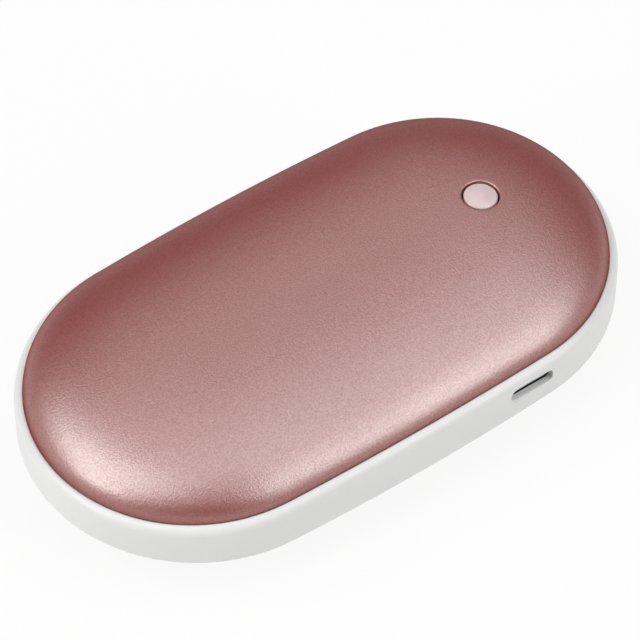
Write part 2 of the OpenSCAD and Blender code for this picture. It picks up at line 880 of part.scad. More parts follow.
module battery_leads() {
    red_x = cell_x1 + strip_t + lead_d / 2 + solder;
    red_y = plug_y + plug_pitch / 2;
    black_x = cell_x0 - strip_t - lead_d / 2 - solder;
    black_y = plug_y - plug_pitch / 2;
    over_z = strip_top + lead_d / 2 + 2 * fit;
    color([0.65, 0.1, 0.1])
        lead([[red_x, red_y + 2 * lead_d, strip_top - lead_d],
            [red_x, red_y + 2 * lead_d, strip_top],
            [red_x + lead_d / 2, red_y + lead_d, lead_hole_z + lead_d / 2],
            [plug_face - lead_d, red_y, lead_hole_z],
            [plug_face - lead_d / 4, red_y, lead_hole_z],
            [plug_face + lead_grip, red_y, lead_hole_z]], lead_d);
    color([0.08, 0.08, 0.08])
        lead([[black_x, 0, strip_top - 2 * lead_d],
            [black_x, 0, valley_z - lead_d / 2],
            [cell_x0 + lead_d / 3, 0, valley_z + lead_d / 2],
            [cell_x0 + 5 * lead_d, 0, valley_z],
            [0, 0, valley_z],
            [cell_x1 - 5 * lead_d, 0, valley_z],
            [cell_x1 - lead_d, 0, over_z],
            [cell_x1 + lead_d, lead_d, over_z],
            [plug_face - lead_d, black_y - lead_d, lead_hole_z],
            [plug_face - lead_d / 4, black_y, lead_hole_z],
            [plug_face + lead_grip, black_y, lead_hole_z]], lead_d);
}

// Two leads run from each heater film to the board
heater_lead_margin = 1.4;
heater_lead_x = board_x0 + heater_lead_margin;
heater_lead_y = 19;
heater_lead_gap = 1.8;
heater_lead_start = 3;

function film_face(x, y) =
    dome_at(norm([max(x - half_l, 0), y]), shell_t + film_t) - thin_lead_d / 2;

// One lead over the board, from a height on the film down to just above the board
module heater_lead(x, side, z1, z0) {
    y0 = side * (film_r - heater_lead_start);
    y1 = side * heater_lead_y;
    lead([[x - thin_lead_d, y0, z1], [x - thin_lead_d / 2, y1, z1 - 4 * thin_lead_d],
        [x, y1, z0 + 3 * thin_lead_d], [x, y1, z0 + solder]], thin_lead_d);
}

module heater_leads() {
    color([0.8, 0.75, 0.7])
        for (side = [-1, 1], i = [0, 1]) {
            x = heater_lead_x + i * heater_lead_gap;
            z1 = film_face(x - thin_lead_d, film_r - heater_lead_start);
            heater_lead(x, side, top_z + z1, board_z1);
            translate([0, 0, board_z0]) mirror([0, 0, 1])
                heater_lead(x, side, board_z0 - low_z + z1, 0);
        }
}

module sensor_leads() {
    groove = mid_z - groove_z;
    root_y = 0.5;
    end_x = board_x0 + 2.4;
    end_y = 1.2;
    color([0.7, 0.68, 0.3])
        for (side = [-1, 1])
            lead([[sensor_x + sensor_l, side * root_y, groove],
                [sensor_x + 3 * sensor_l, side * root_y, groove],
                [cell_x1 - sensor_l, side * root_y, groove],
                [cell_x1 + 2 * thin_lead_d, side * (root_y + end_y) / 2, groove - thin_lead_d],
                [end_x, side * end_y, board_z0 - 2 * thin_lead_d],
                [end_x, side * end_y, board_z0 - thin_lead_d],
                [end_x, side * end_y, board_z0 - solder]], thin_lead_d);
}

// Self-tapping screw with a cross slot in its head
module screw(grip, reach) {
    slot_w = 0.4;
    difference() {
        union() {
            translate([0, 0, -grip - reach]) cylinder(d = screw_d - 2 * fit, h = grip + reach + fit);
            cylinder(d = head_d, h = head_h);
        }
        for (turn = [0, 90])
            rotate([0, 0, turn])
                translate([-head_d / 4, -slot_w / 2, head_h - 0.6]) cube([head_d / 2, slot_w, past]);
    }
}

module board_screws() {
    color([0.7, 0.71, 0.72])
        for (place = board_bosses)
            translate([place[0], place[1], board_z1]) screw(board_t, screw_grip - 0.6);
}

module cradle_screws() {
    color([0.7, 0.71, 0.72])
        for (x = cradle_boss_x, side = [-1, 1])
            translate([x, side * boss_r, tab_z + tab_t]) screw(tab_t, tab_z - low_z - 0.4);
}

top_shell();
bottom_shell();
middle_band();
top_snap_frame();
bottom_snap_frame();
button_cap();
button_guide();
top_heater_film();
bottom_heater_film();
top_heater_track();
bottom_heater_track();
top_foam_pad();
bottom_foam_pad();
front_cell();
rear_cell();
cell_sleeves();
insulating_rings();
positive_strip();
negative_strip();
battery_cradle();
circuit_board();
socket_shell();
socket_tongue();
socket_contacts();
switch_body();
switch_plunger();
status_lamps();
charging_chip();
control_chip();
coil_winding();
coil_core();
power_transistors();
chip_capacitors();
chip_resistors();
battery_plug();
temperature_sensor();
battery_leads();
heater_leads();
sensor_leads();
board_screws();
cradle_screws();
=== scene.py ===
"""Rechargeable hand warmer: two blasted rose shells on a satin white band, with a frosted button."""

import json
import math

import bmesh
import bpy
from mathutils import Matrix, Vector
from mathutils.geometry import delaunay_2d_cdt


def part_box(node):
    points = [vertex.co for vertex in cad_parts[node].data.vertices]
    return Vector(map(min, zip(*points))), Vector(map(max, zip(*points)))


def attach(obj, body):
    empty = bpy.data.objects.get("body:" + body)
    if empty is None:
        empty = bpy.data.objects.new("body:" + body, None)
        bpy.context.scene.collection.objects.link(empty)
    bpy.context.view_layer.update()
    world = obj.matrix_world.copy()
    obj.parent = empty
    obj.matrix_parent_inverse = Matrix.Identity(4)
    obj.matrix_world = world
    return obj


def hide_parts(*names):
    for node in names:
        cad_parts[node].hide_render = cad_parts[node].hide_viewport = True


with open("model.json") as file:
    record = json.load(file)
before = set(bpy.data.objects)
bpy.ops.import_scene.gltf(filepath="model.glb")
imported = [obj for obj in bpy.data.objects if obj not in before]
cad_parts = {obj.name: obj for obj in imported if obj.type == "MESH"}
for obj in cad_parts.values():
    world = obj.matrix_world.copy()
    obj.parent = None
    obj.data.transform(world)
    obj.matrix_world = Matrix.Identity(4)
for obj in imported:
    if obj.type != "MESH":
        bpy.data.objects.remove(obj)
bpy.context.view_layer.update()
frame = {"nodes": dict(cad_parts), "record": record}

# Shapes are worked out in millimetres, and made in metres
MM = 0.001
QUARTER = math.pi / 2

# Plan of the case: two end arcs joined by two long, slightly bowed sides
CASE_L = 107.0
CASE_W = 59.56
SIDE_BOW = 0.57
END_R = CASE_W / 2 - SIDE_BOW
END_X = CASE_L / 2 - END_R
SIDE_Y = (END_X ** 2 - SIDE_BOW ** 2) / (2 * SIDE_BOW)
SIDE_R = CASE_W / 2 + SIDE_Y
TURN = math.atan2(END_X, SIDE_Y)
END_STEPS = 72
SIDE_STEPS = 34

# Section of the case, measured from its middle plane; the lower dome curves in a little sooner
MID_Z = 13.2
BAND_H = 9.9
DOME_H = 8.25
SHOULDER_W = 1.44
SHOULDER_H = 1.52
LINE_DROP = 0.70
CROWN_POWER = 2.53
EDGE_POWER = 1.81
LOW_EDGE_POWER = 1.60
DOME_S = END_R - SHOULDER_W

# Shells
SHELL_T = 0.9
SHELL_RINGS = 40
RIM_FADE = 3.0
RIM_LIFT = 0.02
RIM_ROUND = 0.14

# Seam between a shell and the band
SEAM_W = 0.03
SEAM_DEPTH = 0.45
SEAM_STEP = 0.10
EDGE_BREAK = 0.03
SHOULDER_START = 0.06

# Inside of the band: its wall, and the flanges with their centring lips
CORE_R = 29.8
CORE_X = CASE_L / 2 - CORE_R
WALL_R = 28.0
FLANGE_R = 25.96
FLANGE_T = 1.2
LIP_R = 26.96
LIP_RISE = 0.6
GROOVE_DROP = 0.7

# Screw bosses of the band, each with a rib to its wall
BOSS_R = 2.4
BOSS_BORE = 0.9
BOSS_FOOT = 0.4
BOSS_SIDES = 40
BOSS_GAP = 0.2
BOSS_AXIS_R = WALL_R - BOSS_R - BOSS_GAP
RIB_NEAR, RIB_FAR = 1.2, 3.0
RIB_HALF = 0.6
RIB_STEP = 0.3
BOARD_BOSS_TOP = -1.13
BOARD_BOSS_TURN = math.radians(40)
BOARD_BOSS_X = 11.02
CRADLE_BOSS_TOP = -2.75
CRADLE_BOSS_INSET = 1.6

# Button
BUTTON_X = 32.24
HOLE_R = 3.14
HOLE_ROUND = 0.20
HOLE_SIDES = 96
CAP_R = 2.83
CAP_SINK = 0.10
CAP_ROUND = 0.34
CAP_CROWN = 0.26
CAP_SIDES = 64
COLLAR_R = 4.2
COLLAR_LOW, COLLAR_HIGH = 20.9 - MID_Z, 21.7 - MID_Z
STEM_R = 1.6

# Fresh faces round the button's hole: two rings close to it, and the ground cleared for them
PATCH_NEAR = 0.4
PATCH_FAR = 0.9
PATCH_CLEAR = 1.5
PATCH_REACH = 4.0
PATCH_SLACK = 0.005

# Charging slot in the band's near side
SLOT_X = 21.2
SLOT_Z = 1.1
SLOT_W = 8.4
SLOT_H = 2.6
SLOT_CORNER = 0.95
SLOT_ROUND = 0.26
SLOT_WALL_Y = -28.14
SLOT_RELIEF = 0.4
CUT_IN, CUT_OUT = 6.0, 1.0

# Turns sharper than this keep a crisp edge
CRISP = math.radians(38)


# ---------------------------------------------------------------- shapes

def oval_ring(inset):
    """Points of the plan's outline, moved in by a distance, round from the right end's near side."""
    half = QUARTER - TURN
    end = [-half + 2 * half * i / END_STEPS for i in range(END_STEPS + 1)]
    side = [TURN - 2 * TURN * i / SIDE_STEPS for i in range(1, SIDE_STEPS)]
    r, long_r = END_R - inset, SIDE_R - inset
    right = [(END_X + r * math.cos(t), r * math.sin(t)) for t in end]
    far = [(long_r * math.sin(t), long_r * math.cos(t) - SIDE_Y) for t in side]
    return right + far + [(-x, -y) for x, y in right] + [(-x, -y) for x, y in far]


def depth_in_plan(x, y):
    """Distance of a point from the widest outline, measured inwards."""
    x, y = abs(x), abs(y)
    if math.atan2(x, y + SIDE_Y) < TURN:
        return SIDE_R - math.hypot(x, y + SIDE_Y)
    return END_R - math.hypot(x - END_X, y)


def seam_z(x):
    """Height of the seam over the middle plane: it drops a little towards the ends."""
    return BAND_H / 2 - LINE_DROP * (x / (CASE_L / 2)) ** 2


def dome_z(x, y):
    """Height of the upper dome's outside over the middle plane."""
    u = 1 - (depth_in_plan(x, y) - SHOULDER_W) / DOME_S
    u = min(max(u, 0.0), 1.0)
    return BAND_H / 2 + DOME_H * max(0.0, 1 - u ** CROWN_POWER) ** (1 / EDGE_POWER)


def mesh_piece(name, bm, body, replaced):
    """Turns built faces into a piece of the object that stands for CAD nodes."""
    bmesh.ops.recalc_face_normals(bm, faces=bm.faces)
    bmesh.ops.scale(bm, vec=(MM, MM, MM), verts=bm.verts)
    bmesh.ops.translate(bm, vec=(0, 0, MID_Z * MM), verts=bm.verts)
    piece = loose_object(name, bm)
    piece.data.shade_smooth()
    piece.data.set_sharp_from_angle(angle=CRISP)
    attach(piece, body)
    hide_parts(*replaced)
    return piece


def loose_object(name, bm):
    """Puts built faces into the scene as they are."""
    mesh = bpy.data.meshes.new(name)
    bm.to_mesh(mesh)
    bm.free()
    made = bpy.data.objects.new(name, mesh)
    bpy.context.scene.collection.objects.link(made)
    return made


def bridge(bm, one, two):
    """Joins two closed rings of the same number of vertices."""
    n = len(one)
    for i in range(n):
        bm.faces.new((one[i], one[(i + 1) % n], two[(i + 1) % n], two[i]))


def round_row(bm, x, y, r, z, sides):
    """Level circle of vertices."""
    turns = [2 * math.pi * i / sides for i in range(sides)]
    return [bm.verts.new((x + r * math.cos(a), y + r * math.sin(a), z)) for a in turns]


def ordered_edge(edges):
    """Vertices of a closed loop of edges, in order."""
    edges = set(edges)
    first = next(iter(edges))
    loop, here = [first.verts[0]], first.verts[1]
    edges.discard(first)
    while here != loop[0]:
        loop.append(here)
        step = next(e for e in here.link_edges if e in edges)
        edges.discard(step)
        here = step.other_vert(here)
    return loop


def from_button(point):
    """Distance of a point from the button's axis."""
    return math.hypot(point.x - BUTTON_X, point.y)


def on_dome(r, angle):
    """Point of the dome at a distance and an angle from the button's axis."""
    x, y = BUTTON_X + r * math.cos(angle), r * math.sin(angle)
    return Vector((x, y, dome_z(x, y)))


def inside(point, outline):
    """Says whether a point of the plan lies within a closed outline."""
    hits = False
    for a, b in zip(outline, outline[1:] + outline[:1]):
        if (a.y > point.y) != (b.y > point.y):
            if point.x < a.x + (point.y - a.y) * (b.x - a.x) / (b.y - a.y):
                hits = not hits
    return hits


def patch_round_hole(bm, radius):
    """Clears the dome round the button and fills it again down to a true circle, which it returns."""
    clear = radius + PATCH_CLEAR
    near = [v for v in bm.verts if from_button(v.co) < clear]
    bmesh.ops.delete(bm, geom=near, context="VERTS")
    edge = [e for e in bm.edges if e.is_boundary
            and all(from_button(v.co) < clear + PATCH_REACH for v in e.verts)]
    loop = ordered_edge(edge)
    rings = []
    for r, count in ((radius, HOLE_SIDES), (radius + PATCH_NEAR, HOLE_SIDES),
                     (radius + PATCH_FAR, HOLE_SIDES // 2)):
        rings.append([bm.verts.new(on_dome(r, 2 * math.pi * i / count)) for i in range(count)])
    bridge(bm, rings[0], rings[1])
    rest = rings[1] + rings[2] + loop
    flat = [v.co.xy.copy() for v in rest]
    inner = len(rings[1])
    start = inner + len(rings[2])
    fixed = [(i, (i + 1) % inner) for i in range(inner)]
    fixed += [(start + i, start + (i + 1) % len(loop)) for i in range(len(loop))]
    points, _, faces, _, _, _ = delaunay_2d_cdt(flat, fixed, [], 0, 1e-6)
    outline = [v.co.xy for v in loop]
    for face in faces:
        middle = sum((points[i] for i in face), Vector((0, 0))) / len(face)
        if from_button(middle) > radius + PATCH_NEAR - PATCH_SLACK and inside(middle, outline):
            bm.faces.new([rest[i] for i in face])
    return rings[0]


def shell_mesh(with_hole, edge_power):
    """One shell, a closed sheet: outside, rounded rim, inside and, on top, the button's hole."""
    bm = bmesh.new()
    rings = []
    for k in range(SHELL_RINGS):
        t = QUARTER * (1 - k / SHELL_RINGS)
        u = math.sin(t) ** (2 / CROWN_POWER)
        rise = DOME_H * math.cos(t) ** (2 / edge_power) if k else 0.0
        left = max(0.0, 1 - rise / RIM_FADE) ** 2
        ring = []
        for x, y in oval_ring(SHOULDER_W + DOME_S * (1 - u) + SEAM_W / 2 * left):
            rim = seam_z(x) + RIM_LIFT + RIM_ROUND - BAND_H / 2
            ring.append(bm.verts.new((x, y, BAND_H / 2 + rise + rim * left)))
        rings.append(ring)
        if k:
            bridge(bm, rings[-2], ring)
    close_crown(bm, rings[-1])
    hole = patch_round_hole(bm, HOLE_R + HOLE_ROUND) if with_hole else []
    bmesh.ops.recalc_face_normals(bm, faces=bm.faces)
    bm.normal_update()
    outer = list(bm.verts)
    turn = 1 if sum(v.normal.z for v in outer) > 0 else -1
    twins = {v: bm.verts.new(v.co - SHELL_T * turn * v.normal) for v in outer}
    for v in rings[0]:
        twins[v].co = v.co - SHELL_T * level_out(v, turn)
    for face in list(bm.faces):
        bm.faces.new([twins[v] for v in reversed(face.verts)])
    close_rim(bm, rings[0], twins, turn)
    if hole:
        close_hole(bm, hole, twins)
    return bm


def close_crown(bm, crown):
    """Fills the last, narrow ring with strips from its near to its far side."""
    last = len(crown)
    tip = END_STEPS // 2
    for j in range(tip, tip + last // 2):
        corners = [crown[j], crown[j + 1],
                   crown[(END_STEPS - j - 1) % last], crown[(END_STEPS - j) % last]]
        bm.faces.new(list(dict.fromkeys(corners)))


def level_out(v, turn):
    """Level direction out of the shell at one of its vertices."""
    return Vector((v.normal.x, v.normal.y, 0)).normalized() * turn


def close_rim(bm, ring, twins, turn):
    """Rounds the shell's lower edge and joins its outside to its inside."""
    row = ring
    for i in (1, 2, 3):
        angle = QUARTER * i / 3
        drop = Vector((0, 0, -RIM_ROUND * math.sin(angle)))
        fresh = []
        for v in ring:
            fresh.append(bm.verts.new(v.co - level_out(v, turn) * RIM_ROUND * (1 - math.cos(angle)) + drop))
        bridge(bm, row, fresh)
        row = fresh
    foot = [bm.verts.new(twins[v].co - Vector((0, 0, RIM_ROUND))) for v in ring]
    bridge(bm, row, foot)
    bridge(bm, foot, [twins[v] for v in ring])


def close_hole(bm, ring, twins):
    """Rounds the hole's edge and joins it to the shell's inside."""
    out = {v: Vector((v.co.x - BUTTON_X, v.co.y, 0)).normalized() for v in ring}
    row = ring
    for i in (1, 2, 3, 4):
        angle = QUARTER * i / 4
        drop = Vector((0, 0, -HOLE_ROUND * (1 - math.cos(angle))))
        fresh = [bm.verts.new(v.co - out[v] * HOLE_ROUND * math.sin(angle) + drop) for v in ring]
        bridge(bm, row, fresh)
        row = fresh
    foot = [bm.verts.new(v.co - out[v] * HOLE_ROUND - Vector((0, 0, SHELL_T))) for v in ring]
    bridge(bm, row, foot)
    bridge(bm, foot, [twins[v] for v in ring])


def turned_over(bm):
    """Mirrors built faces in the case's middle plane."""
    for v in bm.verts:
        v.co.z = -v.co.z
    return bm


def stadium_ring(r):
    """Ring of the band's inside, with as many points as the oval has."""
    end = [-QUARTER + math.pi * i / END_STEPS for i in range(END_STEPS + 1)]
    right = [(CORE_X + r * math.cos(t), r * math.sin(t)) for t in end]
    far = [(CORE_X * (1 - 2 * i / SIDE_STEPS), r) for i in range(1, SIDE_STEPS)]
    return right + far + [(-x, -y) for x, y in right] + [(-x, -y) for x, y in far]


def band_mesh():
    """The band: rounded shoulders and face outside, flanges with centring lips inside."""
    bm = bmesh.new()
    steps = 8
    rows = []

    def outer(inset, drop):
        rows.append([(x, y, seam_z(x) - drop) for x, y in oval_ring(inset)])

    def inner(r, z):
        rows.append([(x, y, z) for x, y in stadium_ring(r)])

    lip_top, flange_low = BAND_H / 2 + LIP_RISE, BAND_H / 2 - FLANGE_T
    inner(WALL_R, 0.0)
    inner(WALL_R, flange_low)
    inner(FLANGE_R, flange_low)
    inner(FLANGE_R, lip_top)
    inner(LIP_R, lip_top)
    inner(LIP_R, BAND_H / 2 - SEAM_DEPTH - GROOVE_DROP)
    outer(SHOULDER_W + SEAM_W, SEAM_DEPTH + SEAM_STEP)
    outer(SHOULDER_W, SEAM_DEPTH)
    outer(SHOULDER_W, SEAM_STEP)
    outer(SHOULDER_W - EDGE_BREAK, EDGE_BREAK)
    for i in range(steps + 1):
        t = QUARTER * (SHOULDER_START + (1 - SHOULDER_START) * i / steps)
        outer(SHOULDER_W * (1 - math.sin(t)), SHOULDER_H * (1 - math.cos(t)))
    upper = len(rows)
    rows.append([(x, y, 0.0) for x, y in oval_ring(0)])
    rows += [[(x, y, -z) for x, y, z in row] for row in reversed(rows[1:upper])]
    made = [[bm.verts.new(p) for p in row] for row in rows]
    for k, row in enumerate(made):
        bridge(bm, row, made[(k + 1) % len(made)])
    bmesh.ops.recalc_face_normals(bm, faces=bm.faces)
    return bm


def slot_outline(grow):
    """Rounded outline of the charging slot, seen from the near side."""
    w, h, r = SLOT_W / 2 + grow, SLOT_H / 2 + grow, SLOT_CORNER + grow
    points = []
    for k, (sx, sz) in enumerate(((1, 1), (-1, 1), (-1, -1), (1, -1))):
        for i in range(7):
            a = QUARTER * (k + i / 6)
            points.append((SLOT_X + sx * (w - r) + r * math.cos(a), SLOT_Z + sz * (h - r) + r * math.sin(a)))
    return points


def slot_cutter():
    """Solid that leaves the slot with a rounded mouth, and a thinner wall round it inside."""
    bm = bmesh.new()
    face_y = -(SIDE_R * math.cos(SLOT_X / SIDE_R) - SIDE_Y)
    rows = [(SLOT_RELIEF, face_y + CUT_IN), (SLOT_RELIEF, SLOT_WALL_Y),
            (0.0, SLOT_WALL_Y), (0.0, face_y + SLOT_ROUND)]
    for i in range(1, 5):
        a = QUARTER * i / 4
        rows.append((SLOT_ROUND * (1 - math.cos(a)), face_y + SLOT_ROUND * (1 - math.sin(a))))
    rows.append((SLOT_ROUND, face_y - CUT_OUT))
    made = [[bm.verts.new((x, y, z)) for x, z in slot_outline(grow)] for grow, y in rows]
    for one, two in zip(made, made[1:]):
        bridge(bm, one, two)
    bm.faces.new(made[0])
    bm.faces.new(made[-1])
    bmesh.ops.recalc_face_normals(bm, faces=bm.faces)
    return bm


def boss_mesh(x, y, turn, top):
    """A screw boss that stands on the lower flange, with a rib to the band's wall."""
    bm = bmesh.new()
    low = -BAND_H / 2 + BOSS_FOOT
    outer, inner = [], []
    for z in (low, top):
        outer.append(round_row(bm, x, y, BOSS_R, z, BOSS_SIDES))
        inner.append(round_row(bm, x, y, BOSS_BORE, z, BOSS_SIDES))
    bridge(bm, outer[0], outer[1])
    bridge(bm, inner[1], inner[0])
    bridge(bm, outer[1], inner[1])
    bridge(bm, inner[0], outer[0])
    c, s = math.cos(turn), math.sin(turn)
    corners = []
    for along, across in ((RIB_NEAR, -RIB_HALF), (RIB_NEAR, RIB_HALF), (RIB_FAR, RIB_HALF), (RIB_FAR, -RIB_HALF)):
        corners.append((x + along * c - across * s, y + along * s + across * c))
    low_row = [bm.verts.new((cx, cy, low)) for cx, cy in corners]
    high_row = [bm.verts.new((cx, cy, top - RIB_STEP)) for cx, cy in corners]
    bridge(bm, low_row, high_row)
    bm.faces.new(low_row)
    bm.faces.new(high_row)
    bmesh.ops.recalc_face_normals(bm, faces=bm.faces)
    return bm


def carved(bm, cutter):
    """Result of taking one solid from another."""
    body, tool = loose_object("work_body", bm), loose_object("work_cutter", cutter)
    cut = body.modifiers.new("cut", "BOOLEAN")
    cut.operation, cut.solver, cut.object = "DIFFERENCE", "EXACT", tool
    ready = body.evaluated_get(bpy.context.evaluated_depsgraph_get())
    made = bmesh.new()
    made.from_mesh(ready.to_mesh())
    for used in (body, tool):
        mesh = used.data
        bpy.data.objects.remove(used)
        bpy.data.meshes.remove(mesh)
    return made


def middle_band():
    """The white band with its charging slot and its seven screw bosses."""
    bm = carved(band_mesh(), slot_cutter())
    bosses = []
    for turn in (BOARD_BOSS_TURN, -BOARD_BOSS_TURN):
        place_x, place_y = CORE_X + BOSS_AXIS_R * math.cos(turn), BOSS_AXIS_R * math.sin(turn)
        bosses.append((place_x, place_y, turn, BOARD_BOSS_TOP))
    bosses.append((BOARD_BOSS_X, -BOSS_AXIS_R, -QUARTER, BOARD_BOSS_TOP))
    for x in (CRADLE_BOSS_INSET - CORE_X, 0.0):
        bosses += [(x, side * BOSS_AXIS_R, side * QUARTER, CRADLE_BOSS_TOP) for side in (-1, 1)]
    for boss in bosses:
        mesh = bpy.data.meshes.new("boss")
        made = boss_mesh(*boss)
        made.to_mesh(mesh)
        made.free()
        bm.from_mesh(mesh)
        bpy.data.meshes.remove(mesh)
    return mesh_piece("white_band", bm, "case", ["middle_band"])


def button_cap():
    """Frosted cap with a low crown and a rounded edge, its keeping collar and its stem."""
    bm = bmesh.new()

    def row(r, z_of):
        ring = []
        for i in range(CAP_SIDES):
            a = 2 * math.pi * i / CAP_SIDES
            x, y = BUTTON_X + r * math.cos(a), r * math.sin(a)
            ring.append(bm.verts.new((x, y, z_of(x, y))))
        return ring

    middle = bm.verts.new((BUTTON_X, 0, dome_z(BUTTON_X, 0) - CAP_SINK + CAP_CROWN))
    flat_r = CAP_R - CAP_ROUND
    rows = []
    for step in range(1, 8):
        r = flat_r * step / 8
        crown = CAP_CROWN * (1 - (r / flat_r) ** 2)
        rows.append(row(r, lambda x, y: dome_z(x, y) - CAP_SINK + crown))
    for i in range(7):
        a = QUARTER * i / 6
        r = CAP_R - CAP_ROUND * (1 - math.sin(a))
        rows.append(row(r, lambda x, y: dome_z(x, y) - CAP_SINK - CAP_ROUND * (1 - math.cos(a))))
    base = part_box("button_cap")[0].z / MM - MID_Z
    for r, z in ((CAP_R, COLLAR_HIGH), (COLLAR_R, COLLAR_HIGH), (COLLAR_R, COLLAR_LOW),
                 (STEM_R, COLLAR_LOW), (STEM_R, base)):
        rows.append(row(r, lambda x, y: z))
    foot = bm.verts.new((BUTTON_X, 0, base))
    for one, two in zip(rows, rows[1:]):
        bridge(bm, one, two)
    for i in range(CAP_SIDES):
        after = (i + 1) % CAP_SIDES
        bm.faces.new((middle, rows[0][i], rows[0][after]))
        bm.faces.new((foot, rows[-1][after], rows[-1][i]))
    return mesh_piece("frosted_button", bm, "button", ["button_cap"])


# ---------------------------------------------------------------- finishes

def place(tree, kind, values=None, **settings):
    """Adds a node; a value that is a socket is joined, any other is set on the node's own socket."""
    node = tree.nodes.new(kind)
    for key, value in settings.items():
        setattr(node, key, value)
    for key, value in (values or {}).items():
        if isinstance(value, bpy.types.NodeSocket):
            tree.links.new(value, node.inputs[key])
        else:
            node.inputs[key].default_value = value
    return node


def wire(tree, shader, **joined):
    """Joins sockets and sets plain values on a shader, an underscore standing for a space."""
    for key, value in joined.items():
        socket = shader.inputs[key.replace("_", " ")]
        if isinstance(value, bpy.types.NodeSocket):
            tree.links.new(value, socket)
        else:
            socket.default_value = value


NUMBER, ARROW = "NodeSocketFloat", "NodeSocketVector"


def new_group(name, inputs, outputs):
    """Shader node group with named sockets."""
    tree = bpy.data.node_groups.new(name, "ShaderNodeTree")
    for label, kind, value in inputs:
        socket = tree.interface.new_socket(name=label, in_out="INPUT", socket_type=kind)
        if value is not None:
            socket.default_value = value
    for label in outputs:
        tree.interface.new_socket(name=label, in_out="OUTPUT", socket_type=NUMBER)
    return tree, tree.nodes.new("NodeGroupInput").outputs, tree.nodes.new("NodeGroupOutput").inputs


def blast_group():
    """Peened pits of bead blasting: fine, with a coarser unevenness under them."""
    tree, given, out = new_group(
        "bead_blast",
        [("Place", ARROW, None), ("Pits per metre", NUMBER, 5200.0), ("Coarse share", NUMBER, 0.35)],
        ["Height", "Speckle"])
    fine = place(tree, "ShaderNodeTexNoise", {
        "Vector": given["Place"], "Scale": given["Pits per metre"], "Detail": 1.5, "Roughness": 0.6})
    slow = place(tree, "ShaderNodeMath", {0: given["Pits per metre"], 1: 0.34}, operation="MULTIPLY")
    coarse = place(tree, "ShaderNodeTexNoise", {
        "Vector": given["Place"], "Scale": slow.outputs[0], "Detail": 2.0, "Roughness": 0.6})
    both = place(tree, "ShaderNodeMix", {
        "Factor": given["Coarse share"], "A": fine.outputs["Fac"], "B": coarse.outputs["Fac"]},
        data_type="FLOAT")
    spread = place(tree, "ShaderNodeMapRange", {
        "Value": both.outputs["Result"], "From Min": 0.30, "From Max": 0.70})
    tree.links.new(both.outputs["Result"], out["Height"])
    tree.links.new(spread.outputs["Result"], out["Speckle"])
    return tree


def handling_group():
    """Where fingers have polished or dulled a surface: soft patches, millimetres to centimetres wide."""
    tree, given, out = new_group(
        "handling",
        [("Place", ARROW, None), ("Patches per metre", NUMBER, 60.0), ("Sharpness", NUMBER, 0.5)],
        ["Mask"])
    cloud = place(tree, "ShaderNodeTexNoise", {
        "Vector": given["Place"], "Scale": given["Patches per metre"],
        "Detail": 4.0, "Roughness": 0.55, "Distortion": 0.4})
    low = place(tree, "ShaderNodeMath", {0: given["Sharpness"], 1: 0.45}, operation="MULTIPLY")
    high = place(tree, "ShaderNodeMath", {0: 1.0, 1: low.outputs[0]}, operation="SUBTRACT")
    spread = place(tree, "ShaderNodeMapRange", {
        "Value": cloud.outputs["Fac"], "From Min": low.outputs[0], "From Max": high.outputs[0]},
        interpolation_type="SMOOTHSTEP")
    tree.links.new(spread.outputs["Result"], out["Mask"])
    return tree


def edge_group():
    """Edges that have been rubbed, found from how sharply the surface turns."""
    tree, given, out = new_group(
        "rubbed_edge",
        [("Place", ARROW, None), ("Start", NUMBER, 0.52), ("End", NUMBER, 0.60),
         ("Breaks per metre", NUMBER, 900.0)],
        ["Mask"])
    turn = place(tree, "ShaderNodeNewGeometry")
    ridge = place(tree, "ShaderNodeMapRange", {
        "Value": turn.outputs["Pointiness"], "From Min": given["Start"], "From Max": given["End"]})
    chips = place(tree, "ShaderNodeTexNoise", {
        "Vector": given["Place"], "Scale": given["Breaks per metre"], "Detail": 3.0})
    torn = place(tree, "ShaderNodeMapRange", {
        "Value": chips.outputs["Fac"], "From Min": 0.35, "From Max": 0.62})
    both = place(tree, "ShaderNodeMath", {
        0: ridge.outputs["Result"], 1: torn.outputs["Result"]}, operation="MULTIPLY")
    tree.links.new(both.outputs[0], out["Mask"])
    return tree


def mould_group():
    """Spark-eroded mould texture: rounded bumps in a softer cloud."""
    tree, given, out = new_group(
        "mould_texture",
        [("Place", ARROW, None), ("Bumps per metre", NUMBER, 4200.0)],
        ["Height", "Mottle"])
    cells = place(tree, "ShaderNodeTexVoronoi", {
        "Vector": given["Place"], "Scale": given["Bumps per metre"], "Randomness": 1.0},
        feature="SMOOTH_F1")
    slow = place(tree, "ShaderNodeMath", {0: given["Bumps per metre"], 1: 0.5}, operation="MULTIPLY")
    cloud = place(tree, "ShaderNodeTexNoise", {
        "Vector": given["Place"], "Scale": slow.outputs[0], "Detail": 3.0})
    both = place(tree, "ShaderNodeMix", {
        "Factor": 0.5, "A": cells.outputs["Distance"], "B": cloud.outputs["Fac"]}, data_type="FLOAT")
    tree.links.new(both.outputs["Result"], out["Height"])
    tree.links.new(cloud.outputs["Fac"], out["Mottle"])
    return tree


def draw_group():
    """Lines left by rolling, drawing or winding, along one direction."""
    tree, given, out = new_group(
        "drawn_lines",
        [("Place", ARROW, None), ("Lines per metre", ARROW, (300.0, 9000.0, 9000.0))],
        ["Height", "Streak"])
    long = place(tree, "ShaderNodeVectorMath", {
        0: given["Place"], 1: given["Lines per metre"]}, operation="MULTIPLY")
    streak = place(tree, "ShaderNodeTexNoise", {
        "Vector": long.outputs[0], "Scale": 1.0, "Detail": 4.0, "Roughness": 0.65})
    spread = place(tree, "ShaderNodeMapRange", {
        "Value": streak.outputs["Fac"], "From Min": 0.3, "From Max": 0.7})
    tree.links.new(streak.outputs["Fac"], out["Height"])
    tree.links.new(spread.outputs["Result"], out["Streak"])
    return tree


